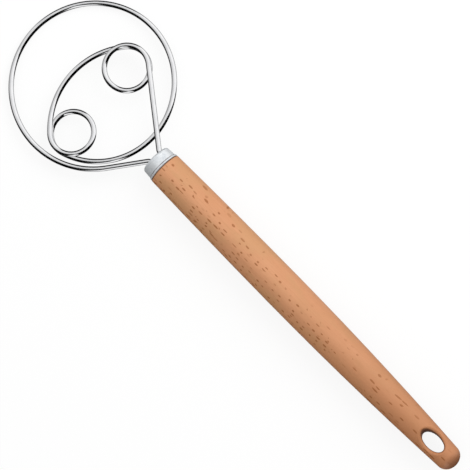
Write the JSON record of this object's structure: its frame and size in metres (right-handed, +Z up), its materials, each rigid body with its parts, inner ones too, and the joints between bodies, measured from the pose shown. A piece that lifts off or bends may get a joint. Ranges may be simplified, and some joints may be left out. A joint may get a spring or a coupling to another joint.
{
  "type": "dough whisk",
  "caption": "Dough whisk: a flat head bent from one round steel wire, with an outer ring and two coiled eyes, in a turned beech handle with a steel ferrule and a hanging hole.",
  "frame": {"origin": "on the surface that the whisk lies on, under the middle of its footprint", "axes": "+X along the handle towards the hanging hole, +Z up from the surface, +Y across the head"},
  "size_m": [0.3394, 0.095, 0.0218],
  "materials": {
    "beech": "oiled, satin",
    "ferrule_steel": "satin",
    "wire_steel": "polished",
    "adhesive": "cured"
  },
  "bodies": {
    "root": {"handle": "beech", "ferrule": "ferrule_steel", "whisk_wire": "wire_steel", "lead_tail_bond": "adhesive", "stem_tail_bond": "adhesive"}
  },
  "joints": []
}
